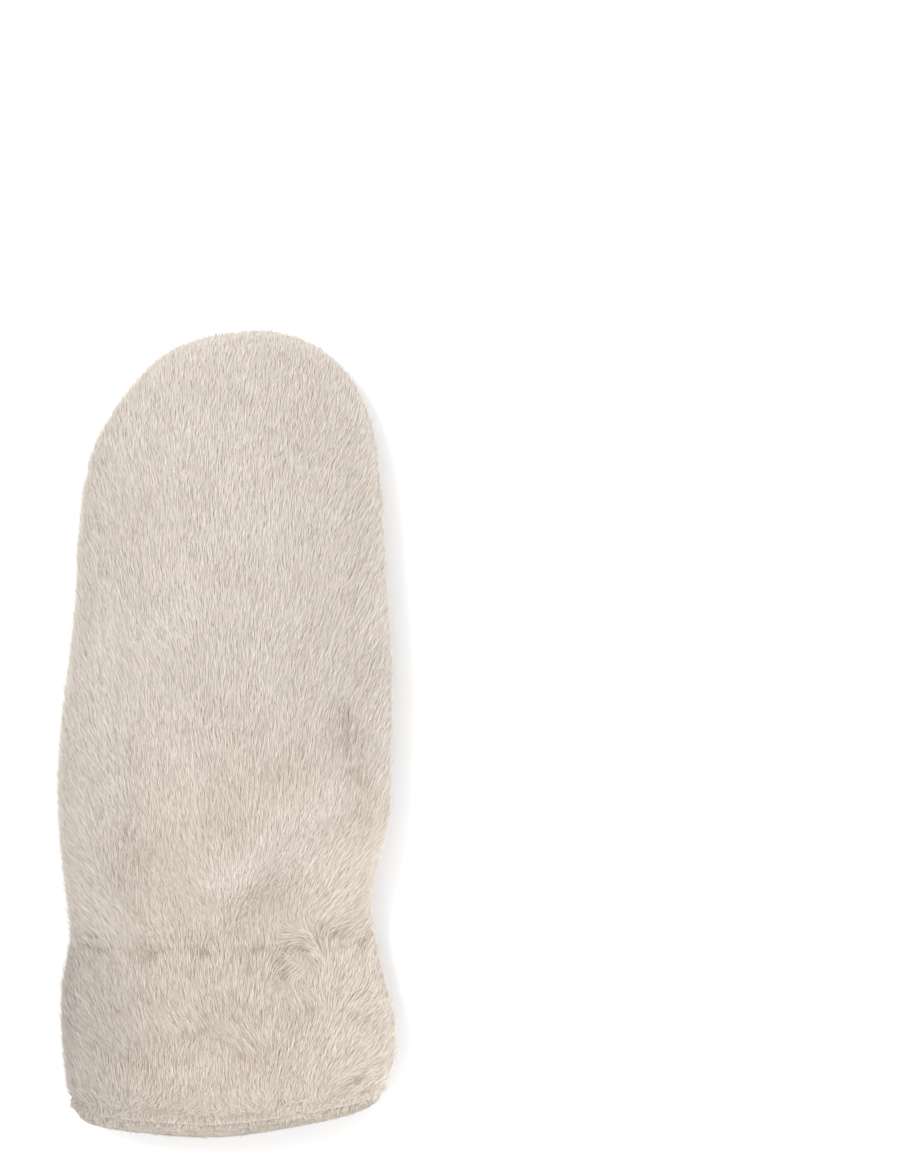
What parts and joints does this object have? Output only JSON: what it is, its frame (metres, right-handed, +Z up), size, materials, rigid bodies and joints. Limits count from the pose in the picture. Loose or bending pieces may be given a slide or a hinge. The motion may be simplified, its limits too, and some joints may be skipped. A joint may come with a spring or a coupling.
{
  "type": "mitten",
  "caption": "Thick pile-covered mitten with a rounded fingertip end, gathered wrist, flared open cuff and a thumb folded flat under the palm, lying palm down.",
  "frame": {"origin": "on the surface that the mitten lies on, below the middle of its outline", "axes": "+Z is up, away from the palm and out of the back of the hand; +Y runs from the open cuff to the fingertips; +X is the side of the thumb"},
  "size_m": [0.113, 0.2706, 0.0424],
  "materials": {
    "pile": "soft matt pile that lies towards the fingertips",
    "lining": "very short matt pile"
  },
  "bodies": {
    "root": {"back_panel": "pile", "palm_panel": "pile", "cuff": "pile", "thumb": "pile", "lining": "lining"}
  },
  "joints": []
}
